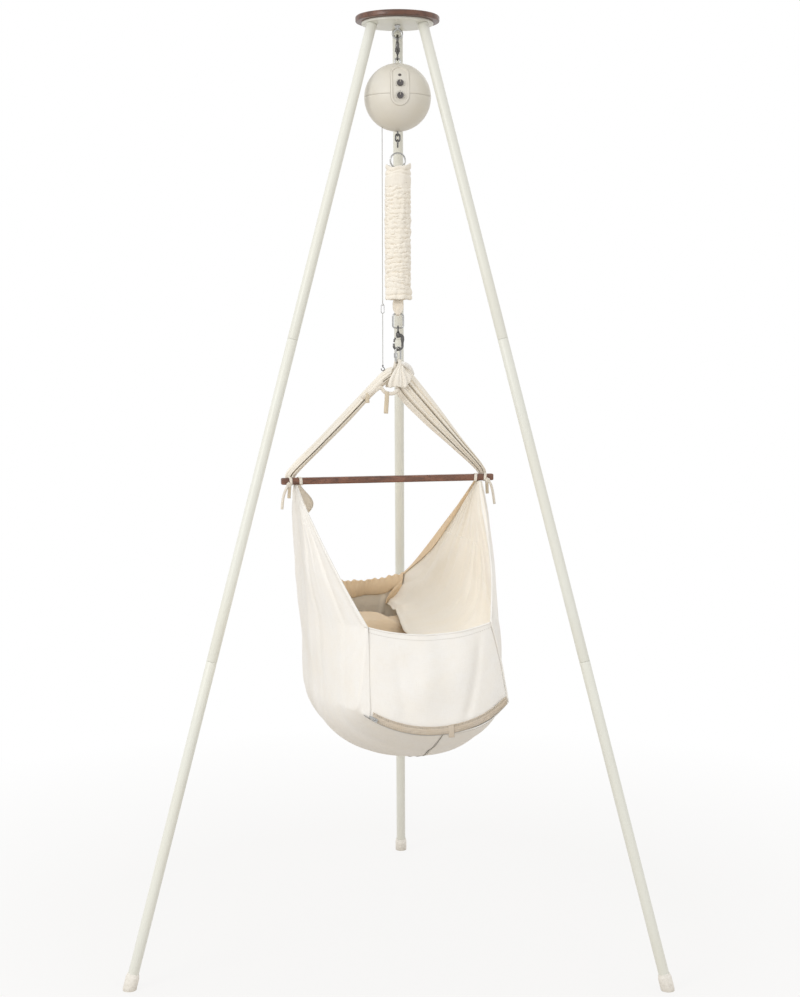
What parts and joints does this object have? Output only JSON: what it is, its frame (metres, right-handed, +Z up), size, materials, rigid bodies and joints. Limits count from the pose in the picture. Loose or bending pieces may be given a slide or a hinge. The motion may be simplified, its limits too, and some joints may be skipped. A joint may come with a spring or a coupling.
{
  "type": "baby hammock with stand",
  "caption": "Cloth baby hammock with a spreader bar, hung by a coil spring and a ball-shaped motor from a three-legged stand.",
  "frame": {"origin": "middle of the object's box on the floor; the stand's upright axis is 0.113 m in front of it", "axes": "+Z up, +Y away from the front, +X to the right seen from the front"},
  "size_m": [1.126, 1.0696, 2],
  "materials": {
    "walnut": "satin varnish",
    "cream_steel": "powder coat",
    "chrome": "polished",
    "gunmetal": "dark nickel",
    "cream_plastic": "satin",
    "dark_plastic": "satin",
    "grey_rubber": "matt",
    "board": "solder mask",
    "spring_steel": "oiled",
    "cotton": "woven cotton",
    "ribbon": "woven tape",
    "lining": "woven cotton",
    "zip": "woven tape",
    "line": "braided cord"
  },
  "bodies": {
    "stand": {"top_disc": "walnut", "leg_plate": "cream_steel", "eye_bolt": "chrome", "eye_nut": "chrome", "leg_upper_left": "cream_steel", "leg_upper_right": "cream_steel", "leg_upper_rear": "cream_steel", "leg_middle_left": "cream_steel", "leg_middle_right": "cream_steel", "leg_middle_rear": "cream_steel", "leg_lower_left": "cream_steel", "leg_lower_right": "cream_steel", "leg_lower_rear": "cream_steel", "foot_left": "grey_rubber", "foot_right": "grey_rubber", "foot_rear": "grey_rubber"},
    "hanger_hook": {"upper_hook": "gunmetal"},
    "hanger_gate": {"upper_gate": "gunmetal"},
    "hanger_swivel": {"upper_swivel": "gunmetal"},
    "motor": {"upper_shell": "cream_plastic", "lower_shell": "cream_plastic", "control_panel": "cream_plastic", "status_lamp": "dark_plastic", "load_frame": "chrome", "gear_motor": "chrome", "circuit_board": "board", "power_inlet": "dark_plastic", "motor_link_1": "gunmetal", "motor_link_2": "gunmetal", "motor_link_3": "gunmetal", "spring_ring": "chrome", "upper_loop": "cotton"},
    "speed_knob": {"speed_dial": "dark_plastic"},
    "timer_knob": {"timer_dial": "dark_plastic"},
    "reel": {"line_reel": "dark_plastic"},
    "spring_end": {"spring": "spring_steel", "sleeve": "cotton", "lower_loop": "cotton", "d_ring": "chrome", "hook_swivel": "gunmetal", "pull_line": "line"},
    "hammock_hook": {"lower_hook": "gunmetal", "quick_link": "chrome"},
    "hammock_gate": {"lower_gate": "gunmetal"},
    "nut": {"link_nut": "chrome"},
    "hammock": {"line_tail": "line", "apex_loop": "cotton", "strap_left": "cotton", "strap_right": "cotton", "spreader_bar": "walnut", "bar_tie_left": "ribbon", "bar_tie_right": "ribbon", "sling_left": "cotton", "sling_right": "cotton", "end_panel_front": "cotton", "end_panel_rear": "cotton", "zip_tape": "zip", "mattress": "lining"},
    "slider": {"zip_slider": "chrome"}
  },
  "joints": [
    {"name": "hang_swing", "type": "hinge", "parent": "stand", "child": "hanger_hook", "pos_m": [0, -0.11303, 1.9547], "axis": [1, 0, 0], "range_deg": [-5, 0.6]},
    {"name": "hanger_gate_open", "type": "hinge", "parent": "hanger_hook", "child": "hanger_gate", "pos_m": [0, -0.10953, 1.9389], "axis": [1, 0, 0], "range_deg": [0, 22], "stiffness_Nm_per_rad": 0.02, "springref_deg": -22.92},
    {"name": "hanger_turn", "type": "hinge", "parent": "hanger_hook", "child": "hanger_swivel", "pos_m": [0, -0.11303, 1.9264], "axis": [0, 0, 1], "range_deg": [-6, 6]},
    {"name": "hang_sway", "type": "hinge", "parent": "hanger_swivel", "child": "motor", "pos_m": [0, -0.11303, 1.9099], "axis": [0, 1, 0], "range_deg": [-2, 2]},
    {"name": "speed_turn", "type": "hinge", "parent": "motor", "child": "speed_knob", "pos_m": [0.00591, -0.1806, 1.853], "axis": [0.0833, -0.9516, 0.2957], "range_deg": [0, 270]},
    {"name": "timer_turn", "type": "hinge", "parent": "motor", "child": "timer_knob", "pos_m": [0.00618, -0.18362, 1.82754], "axis": [0.087, -0.9942, -0.0628], "range_deg": [0, 270]},
    {"name": "bounce", "type": "slide", "parent": "motor", "child": "spring_end", "axis": [0, 0, -1], "range_m": [0, 0.08], "stiffness_N_per_m": 500, "springref_m": -0.2, "deforming": ["spring", "sleeve", "pull_line"]},
    {"name": "reel_turn", "type": "hinge", "parent": "motor", "child": "reel", "pos_m": [-0.023, -0.11303, 1.832], "axis": [0, 1, 0], "range_deg": [-460, 2]},
    {"name": "hammock_turn", "type": "hinge", "parent": "spring_end", "child": "hammock_hook", "pos_m": [0, -0.11303, 1.34575], "axis": [0, 0, 1], "range_deg": [-3, 3]},
    {"name": "hammock_gate_open", "type": "hinge", "parent": "hammock_hook", "child": "hammock_gate", "pos_m": [-0.0058, -0.11303, 1.324], "axis": [0, -1, 0], "range_deg": [0, 20], "stiffness_Nm_per_rad": 0.02, "springref_deg": -22.92},
    {"name": "nut_travel", "type": "slide", "parent": "hammock_hook", "child": "nut", "axis": [0, 0, 1], "range_m": [0, 0.004]},
    {"name": "cradle_rock", "type": "hinge", "parent": "hammock_hook", "child": "hammock", "pos_m": [0, -0.11303, 1.27], "axis": [0.9724, 0.2334, 0], "range_deg": [-1.5, 0.8]},
    {"name": "zip_run", "type": "hinge", "parent": "hammock", "child": "slider", "pos_m": [0.04347, -0.38833, 0.73047], "axis": [0.1872, -0.7799, 0.5973], "range_deg": [0, 60]}
  ],
  "couplings": [
    {"joint": "reel_turn", "follows": "bounce", "rad_per_m": -100}
  ]
}
